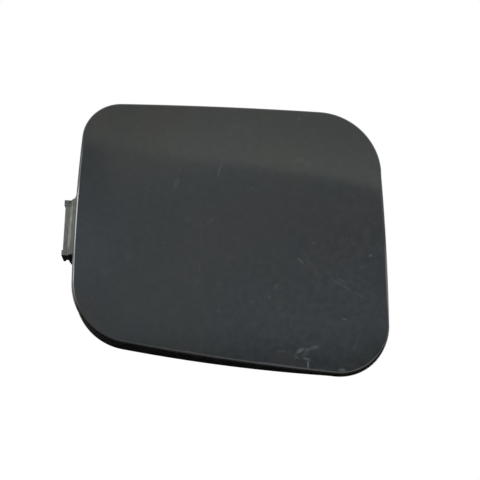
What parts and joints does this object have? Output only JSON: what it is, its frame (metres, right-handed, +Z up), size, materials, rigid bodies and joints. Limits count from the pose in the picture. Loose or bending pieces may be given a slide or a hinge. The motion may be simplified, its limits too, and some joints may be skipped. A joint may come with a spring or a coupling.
{
  "type": "bumper tow hook cover",
  "caption": "Domed, painted plastic cover for the towing eye's hole in a car bumper, with a skirt wall and low ribs behind, a hook tab on one side and a snap latch on the other.",
  "frame": {"origin": "middle of the cover's bounding box", "axes": "+X to the right as the cover is seen on the bumper, +Z up, +Y inward through the bumper's skin, so that the painted face looks along -Y"},
  "size_m": [0.0946, 0.0203, 0.0786],
  "materials": {
    "paint": "dark grey paint with a worn gloss, over black moulded plastic",
    "bare_plastic": "bare black moulding, matt, on the skirt wall and the back, which the paint doesn't reach"
  },
  "bodies": {
    "root": {"tow_hook_cover": "paint"}
  },
  "joints": []
}
